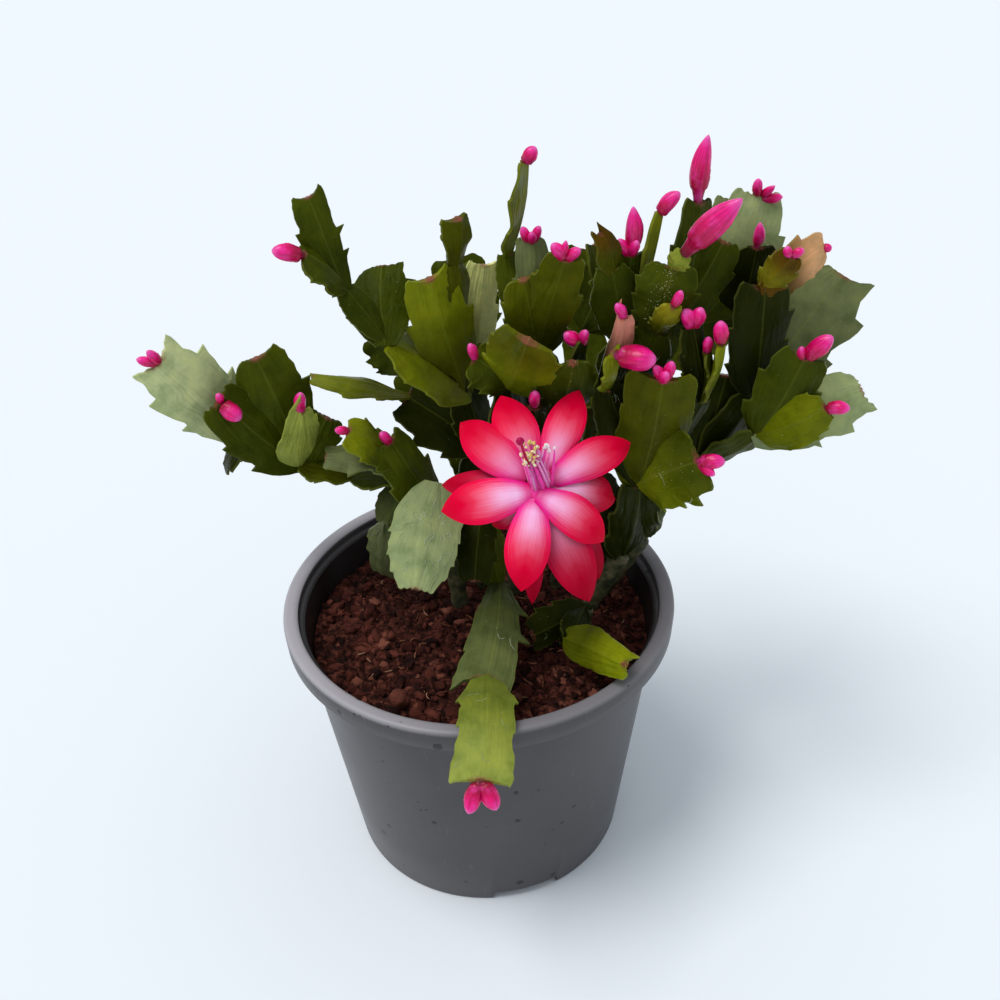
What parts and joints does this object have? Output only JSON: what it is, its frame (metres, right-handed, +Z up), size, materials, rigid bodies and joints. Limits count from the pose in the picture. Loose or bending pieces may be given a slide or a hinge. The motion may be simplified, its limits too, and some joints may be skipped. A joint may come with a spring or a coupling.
{
  "type": "potted christmas cactus",
  "caption": "Christmas cactus in a thin round nursery pot: arching stems of flat toothed pads from the soil, bunches of pink buds on the pad tips and an open layered flower at the front.",
  "frame": {"origin": "the middle of the pot's flat base, on the surface it stands on", "axes": "+Z up along the pot's axis; -Y is the front, where the flower faces and the pad hangs over the rim; +X is to the right as seen from the front"},
  "size_m": [0.2085, 0.1575, 0.225],
  "materials": {
    "pot_plastic": "satin",
    "potting_soil": "matte",
    "pad_skin": "satin",
    "bud_skin": "satin",
    "petal": "satin",
    "stamen": "matte",
    "style": "satin"
  },
  "bodies": {
    "root": {"pot": "pot_plastic", "soil": "potting_soil", "stem_left": "pad_skin", "stem_upper_left": "pad_skin", "stem_centre": "pad_skin", "stem_top_right": "pad_skin", "stem_right": "pad_skin", "stem_front_right": "pad_skin", "stem_front": "pad_skin", "stem_low": "pad_skin", "stem_back_left": "pad_skin", "stem_back_right": "pad_skin", "buds_left_end": "bud_skin", "buds_left_lower": "bud_skin", "buds_left_young": "bud_skin", "buds_left_inner": "bud_skin", "buds_left_broad": "bud_skin", "buds_upper_edge": "bud_skin", "buds_centre_spiky": "bud_skin", "buds_centre_blade": "bud_skin", "buds_centre_grey": "bud_skin", "buds_centre_crowned": "bud_skin", "buds_centre_thin": "bud_skin", "buds_centre_hidden": "bud_skin", "buds_top_budding": "bud_skin", "buds_top_wand": "bud_skin", "buds_top_dusty": "bud_skin", "buds_top_high": "bud_skin", "buds_top_right": "bud_skin", "buds_top_far": "bud_skin", "buds_right_olive": "bud_skin", "buds_right_peach": "bud_skin", "buds_right_upper": "bud_skin", "buds_right_bright": "bud_skin", "buds_front_right_big": "bud_skin", "buds_front_right_light": "bud_skin", "buds_front_right_crumpled": "bud_skin", "buds_top_fish_tail": "bud_skin", "buds_front_right_twin": "bud_skin", "buds_front_right_blade": "bud_skin", "buds_front_right_sliver": "bud_skin", "buds_front_right_broad": "bud_skin", "buds_front_over_rim": "bud_skin", "flower_petals": "petal", "flower_stamens": "stamen", "flower_pistil": "style"}
  },
  "joints": []
}
